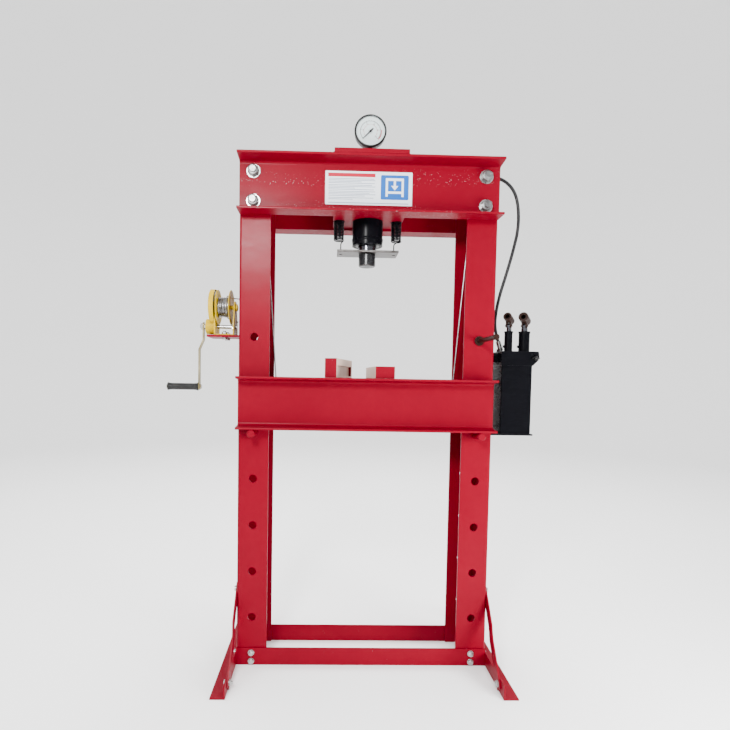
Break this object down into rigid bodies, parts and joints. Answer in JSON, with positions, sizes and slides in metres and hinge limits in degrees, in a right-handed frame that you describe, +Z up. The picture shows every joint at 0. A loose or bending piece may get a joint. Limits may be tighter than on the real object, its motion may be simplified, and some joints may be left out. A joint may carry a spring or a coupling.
{
  "type": "hydraulic shop press",
  "caption": "Floor-standing H-frame hydraulic press with a gauge, a pinned bed raised by a side winch, press blocks, and a side hand pump joined by a hose.",
  "frame": {"origin": "on the floor, on the ram's axis", "axes": "+Z up along the ram, +X to the operator's right, towards the pump, and +Y away from the operator"},
  "size_m": [1.4139, 0.64, 2.0665],
  "materials": {
    "frame_paint": "semi-gloss red enamel",
    "bed_paint": "semi-gloss red enamel, worn on top",
    "winch_paint": "yellow enamel",
    "zinc": "zinc plated fasteners",
    "steel": "machined steel, lightly oiled",
    "chrome": "hard chrome, polished",
    "black_steel": "blackened spring steel",
    "cast": "machined cast iron",
    "block_paint": "red ends, taupe mill sides",
    "gauge_case": "black enamel",
    "dial": "matt white face with dark print",
    "needle": "matt black",
    "glass": "clear",
    "grip": "black moulded grip",
    "rope": "twisted wire rope",
    "hose": "black rubber, fine weave",
    "pump_paint": "gloss black enamel",
    "cylinder_paint": "gloss black enamel",
    "browned": "browned casting",
    "yellow_zinc": "yellow zinc plating"
  },
  "bodies": {
    "frame": {"column_left": "frame_paint", "column_right": "frame_paint", "crosshead_front": "frame_paint", "crosshead_rear": "frame_paint", "crosshead_bolts": "zinc", "top_plate": "frame_paint", "guide_plate": "frame_paint", "rail_front": "frame_paint", "rail_rear": "frame_paint", "foot_left": "frame_paint", "foot_right": "frame_paint", "braces": "frame_paint", "frame_bolts": "zinc", "cylinder_body": "cylinder_paint", "cylinder_gland": "steel", "return_springs": "black_steel", "crosshead_pins": "steel", "gauge_case": "gauge_case", "gauge_dial": "dial", "gauge_glass": "glass", "winch_shelf": "frame_paint", "winch_frame": "winch_paint", "gear_cover": "winch_paint", "rope_lead": "rope", "rope_falls": "rope", "pump_tank": "pump_paint", "pump_head": "pump_paint", "pump_shelf": "frame_paint", "pump_barrels": "pump_paint", "pump_links": "steel", "hydraulic_hose": "hose", "hose_fittings": "zinc"},
    "ram": {"ram": "chrome", "ram_plate": "steel", "ram_nose": "steel"},
    "bed": {"bed_front": "bed_paint", "bed_rear": "bed_paint", "bed_spacers": "bed_paint", "block_left": "block_paint", "block_right": "block_paint", "rope_bed_run": "rope"},
    "bed_pulley_left": {"pulley_bed_left": "cast"},
    "bed_pulley_right": {"pulley_bed_right": "cast"},
    "top_pulley": {"pulley_top": "cast"},
    "pin_left": {"bed_pin_left": "bed_paint"},
    "pin_right": {"bed_pin_right": "bed_paint"},
    "drum": {"winch_drum": "winch_paint", "drum_gear": "steel", "wound_rope": "rope"},
    "crank": {"pinion_shaft": "steel", "crank_arm": "yellow_zinc"},
    "grip": {"crank_grip": "grip"},
    "pawl": {"winch_pawl": "yellow_zinc"},
    "small_plunger": {"plunger_small": "chrome"},
    "large_plunger": {"plunger_large": "chrome"},
    "small_socket": {"socket_small": "browned"},
    "large_socket": {"socket_large": "browned"},
    "valve": {"release_valve": "steel"},
    "needle": {"gauge_needle": "needle"},
    "lever": {"pump_lever": "browned"}
  },
  "joints": [
    {"name": "ram_slide", "type": "slide", "parent": "frame", "child": "ram", "axis": [0, 0, -1], "range_m": [0, 0.15], "stiffness_N_per_m": 1000, "springref_m": -0.18, "deforming": ["return_springs"]},
    {"name": "crank_spin", "type": "hinge", "parent": "frame", "child": "crank", "pos_m": [-0.63, 0, 1.28], "axis": [-1, 0, 0], "range_deg": [0, 1620]},
    {"name": "grip_spin", "type": "hinge", "parent": "crank", "child": "grip", "pos_m": [-0.7, 0, 1.049], "axis": [1, 0, 0], "continuous": true},
    {"name": "drum_spin", "type": "hinge", "parent": "frame", "child": "drum", "pos_m": [-0.54, 0, 1.354], "axis": [1, 0, 0], "range_deg": [0, 315]},
    {"name": "bed_lift", "type": "slide", "parent": "frame", "child": "bed", "axis": [0, 0, 1], "range_m": [0, 0.12], "deforming": ["rope_falls"]},
    {"name": "top_pulley_spin", "type": "hinge", "parent": "frame", "child": "top_pulley", "pos_m": [-0.418, 0, 1.782], "axis": [0, -1, 0], "range_deg": [0, 574]},
    {"name": "bed_pulley_left_spin", "type": "hinge", "parent": "bed", "child": "bed_pulley_left", "pos_m": [-0.31, 0, 0.9398], "axis": [0, 1, 0], "range_deg": [0, 287]},
    {"name": "bed_pulley_right_spin", "type": "hinge", "parent": "bed", "child": "bed_pulley_right", "pos_m": [0.31, 0, 0.9398], "axis": [0, 1, 0], "range_deg": [0, 287]},
    {"name": "pawl_swing", "type": "hinge", "parent": "frame", "child": "pawl", "pos_m": [-0.51, 0.025, 1.302], "axis": [-1, 0, 0], "range_deg": [0, 40]},
    {"name": "pin_left_pull", "type": "slide", "parent": "frame", "child": "pin_left", "axis": [0, -1, 0], "range_m": [0, 0.32]},
    {"name": "pin_right_pull", "type": "slide", "parent": "frame", "child": "pin_right", "axis": [0, -1, 0], "range_m": [0, 0.32]},
    {"name": "small_plunger_stroke", "type": "slide", "parent": "frame", "child": "small_plunger", "axis": [0, 0, 1], "range_m": [0, 0.018]},
    {"name": "small_socket_tilt", "type": "hinge", "parent": "small_plunger", "child": "small_socket", "pos_m": [0.548, -0.03, 1.303], "axis": [-0.848, 0.5299, 0], "range_deg": [0, 36]},
    {"name": "large_plunger_stroke", "type": "slide", "parent": "frame", "child": "large_plunger", "axis": [0, 0, 1], "range_m": [0, 0.018]},
    {"name": "large_socket_tilt", "type": "hinge", "parent": "large_plunger", "child": "large_socket", "pos_m": [0.609, -0.03, 1.303], "axis": [-0.848, 0.5299, 0], "range_deg": [0, 36]},
    {"name": "valve_turn", "type": "hinge", "parent": "frame", "child": "valve", "pos_m": [0.634, -0.09, 1.177], "axis": [0, 1, 0], "range_deg": [0, 90]},
    {"name": "needle_turn", "type": "hinge", "parent": "frame", "child": "needle", "pos_m": [0, -0.055, 2.0065], "axis": [0, 1, 0], "range_deg": [0, 270]},
    {"name": "lever_pull", "type": "slide", "parent": "frame", "child": "lever", "axis": [0, -1, 0], "range_m": [0, 0.24]}
  ],
  "couplings": [
    {"joint": "drum_spin", "follows": "crank_spin", "ratio": 0.19355},
    {"joint": "bed_lift", "follows": "crank_spin", "m_per_rad": 0.0042387},
    {"joint": "top_pulley_spin", "follows": "crank_spin", "ratio": 0.35323},
    {"joint": "bed_pulley_left_spin", "follows": "crank_spin", "ratio": 0.17661},
    {"joint": "bed_pulley_right_spin", "follows": "crank_spin", "ratio": 0.17661},
    {"joint": "small_socket_tilt", "follows": "small_plunger_stroke", "rad_per_m": 33.333},
    {"joint": "large_socket_tilt", "follows": "large_plunger_stroke", "rad_per_m": 33.333}
  ]
}
